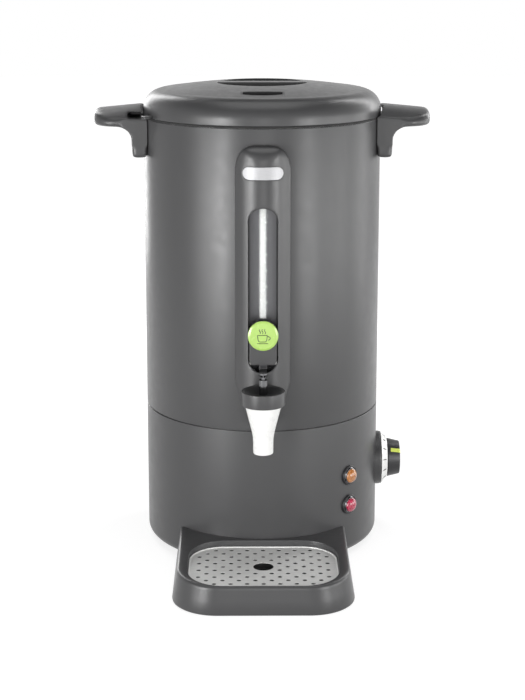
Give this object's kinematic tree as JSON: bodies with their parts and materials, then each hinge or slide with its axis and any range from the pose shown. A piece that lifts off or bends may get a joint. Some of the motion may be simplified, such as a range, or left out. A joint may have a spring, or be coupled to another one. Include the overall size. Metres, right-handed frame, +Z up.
{
  "type": "hot water urn",
  "caption": "Cylindrical electric hot water urn with twist-lock lid, side handles, sight gauge, push-button tap, side dial and drip tray.",
  "frame": {"origin": "on the urn's axis, on the surface that its feet stand on", "axes": "+Z up along the urn's axis, -Y to the front where the tap and drip tray are, +X to the side with the dial"},
  "size_m": [0.357, 0.3875, 0.501],
  "materials": {
    "charcoal_metal": "matt powder coat",
    "charcoal_plastic": "fine moulded grain",
    "black_plastic": "matt",
    "white_plastic": "satin",
    "lime_plastic": "satin",
    "stainless": "brushed",
    "chrome": "polished",
    "badge_silver": "satin",
    "clear_tube": "clear",
    "rubber": "matt",
    "silicone": "translucent",
    "amber_lens": "clear tinted",
    "red_lens": "clear tinted",
    "copper": "drawn",
    "ceramic": "unglazed ceramic",
    "aluminium": "cast"
  },
  "bodies": {
    "urn": {"upper_shell": "charcoal_metal", "base_housing": "charcoal_metal", "base_plate": "stainless", "feet": "rubber", "base_screws": "stainless", "inner_tank": "stainless", "handle_left": "charcoal_plastic", "handle_right": "charcoal_plastic", "handle_screws": "stainless", "tap_column": "charcoal_plastic", "column_screws": "stainless", "badge_plate": "badge_silver", "sight_tube": "clear_tube", "tube_seals": "rubber", "gauge_strip": "white_plastic", "gauge_marks": "white_plastic", "lever_pins": "stainless", "lever_spring": "stainless", "tap_collar": "charcoal_plastic", "spout": "white_plastic", "valve_spring": "stainless", "tap_body": "stainless", "tap_washers": "silicone", "tap_nut": "stainless", "knob_skirt": "charcoal_plastic", "dial_ring": "white_plastic", "dial_marks": "black_plastic", "thermostat_body": "stainless", "thermostat_nut": "stainless", "capillary": "copper", "sensor_bulb": "copper", "lamp_bezels": "chrome", "lens_amber": "amber_lens", "lens_red": "red_lens", "lamp_bodies": "black_plastic", "lamp_nuts": "stainless", "heater_plate": "aluminium", "heating_element": "stainless", "heater_clamp": "stainless", "heater_stud": "stainless", "heater_nut": "stainless", "thermal_cutout": "black_plastic", "terminal_block": "ceramic", "wire_leads": "rubber", "cable_gland": "black_plastic"},
    "lid_ring": {"lid_seal": "silicone"},
    "lid": {"lid_shell": "charcoal_plastic", "lid_liner": "stainless", "lid_screws": "stainless", "steam_vent": "black_plastic"},
    "lever": {"push_lever": "charcoal_plastic", "button_cap": "lime_plastic", "button_icon": "black_plastic"},
    "stem": {"valve_stem": "chrome", "seat_cup": "silicone"},
    "knob": {"knob_grip": "black_plastic", "knob_pointer": "lime_plastic", "thermostat_shaft": "stainless"},
    "tray": {"drip_tray": "charcoal_plastic"},
    "grille": {"drip_grille": "stainless"}
  },
  "joints": [
    {"name": "lid_lift", "type": "slide", "parent": "urn", "child": "lid_ring", "axis": [0, 0, 1], "range_m": [0, 0.06]},
    {"name": "lid_turn", "type": "hinge", "parent": "lid_ring", "child": "lid", "pos_m": [0, 0, 0.467], "axis": [0, 0, -1], "range_deg": [0, 16]},
    {"name": "lever_press", "type": "hinge", "parent": "urn", "child": "lever", "pos_m": [0, -0.136, 0.227], "axis": [-1, 0, 0], "range_deg": [0, 8], "stiffness_Nm_per_rad": 1.8, "springref_deg": -2.86, "deforming": ["lever_spring"]},
    {"name": "stem_lift", "type": "slide", "parent": "urn", "child": "stem", "axis": [0, 0, 1], "range_m": [0, 0.0047], "deforming": ["valve_spring"]},
    {"name": "knob_turn", "type": "hinge", "parent": "urn", "child": "knob", "pos_m": [0.13, 0, 0.0825], "axis": [-1, 0, 0], "range_deg": [-85, 185]},
    {"name": "tray_slide", "type": "slide", "parent": "urn", "child": "tray", "axis": [0, -1, 0], "range_m": [0, 0.12]},
    {"name": "grille_lift", "type": "slide", "parent": "tray", "child": "grille", "axis": [0, 0, 1], "range_m": [0, 0.03]}
  ],
  "couplings": [
    {"joint": "stem_lift", "follows": "lever_press", "m_per_rad": 0.033}
  ]
}
